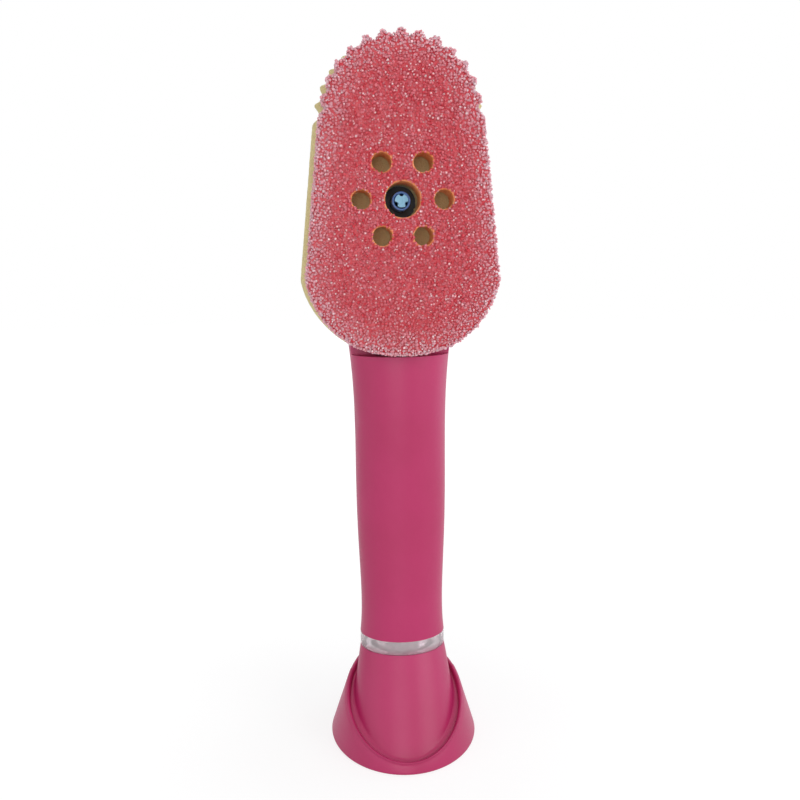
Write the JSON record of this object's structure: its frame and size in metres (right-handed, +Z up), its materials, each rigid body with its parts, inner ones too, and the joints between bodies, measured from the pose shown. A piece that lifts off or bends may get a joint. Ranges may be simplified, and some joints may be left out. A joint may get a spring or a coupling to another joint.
{
  "type": "dish wand",
  "caption": "Standing dish wand: soap reservoir in the grip, push valve in the head, pull-off toothed scrubbing pad and a flared screw cap as its foot.",
  "frame": {"origin": "on the floor plane of the foot, under the handle's axis", "axes": "+Z up along the handle, -Y towards the scrubbing face, +X to the viewer's right"},
  "size_m": [0.0736, 0.0718, 0.2815],
  "materials": {
    "pink_plastic": "satin",
    "clear_plastic": "clear gloss",
    "white_plastic": "satin",
    "blue_plastic": "translucent gloss",
    "light_blue_plastic": "translucent gloss",
    "scrub_foam": "coarse open-cell foam",
    "backing_foam": "fine open-cell foam",
    "seal_rubber": "matte",
    "spring_steel": "bright"
  },
  "bodies": {
    "handle": {"handle_shell": "pink_plastic", "head_cover": "pink_plastic", "reservoir": "clear_plastic", "reservoir_seal": "seal_rubber", "valve_housing": "blue_plastic", "housing_seal": "seal_rubber", "valve_spring": "spring_steel", "spring_retainer": "white_plastic"},
    "plunger": {"valve_plunger": "light_blue_plastic", "plunger_seal": "seal_rubber"},
    "scrub_head": {"scrub_foam": "scrub_foam", "backing_foam": "backing_foam", "carrier_plate": "white_plastic", "outlet_seal": "seal_rubber"},
    "cap_seal": {"cap_gasket": "seal_rubber"},
    "screw_cap": {"base_cap": "pink_plastic", "cap_insert": "white_plastic", "vent_valve": "seal_rubber"}
  },
  "joints": [
    {"name": "valve_push", "type": "slide", "parent": "handle", "child": "plunger", "axis": [0, 1, 0], "range_m": [0, 0.0022], "stiffness_N_per_m": 300, "springref_m": -0.003, "deforming": ["valve_spring"]},
    {"name": "pad_pull_off", "type": "slide", "parent": "handle", "child": "scrub_head", "axis": [0, -1, 0], "range_m": [0, 0.03]},
    {"name": "cap_lift", "type": "slide", "parent": "handle", "child": "cap_seal", "axis": [0, 0, -1], "range_m": [0, 0.012]},
    {"name": "cap_turn", "type": "hinge", "parent": "cap_seal", "child": "screw_cap", "pos_m": [0, 0, 0], "axis": [0, 0, -1], "range_deg": [0, 1080]}
  ],
  "couplings": [
    {"joint": "cap_lift", "follows": "cap_turn", "m_per_rad": 0.00063662}
  ]
}
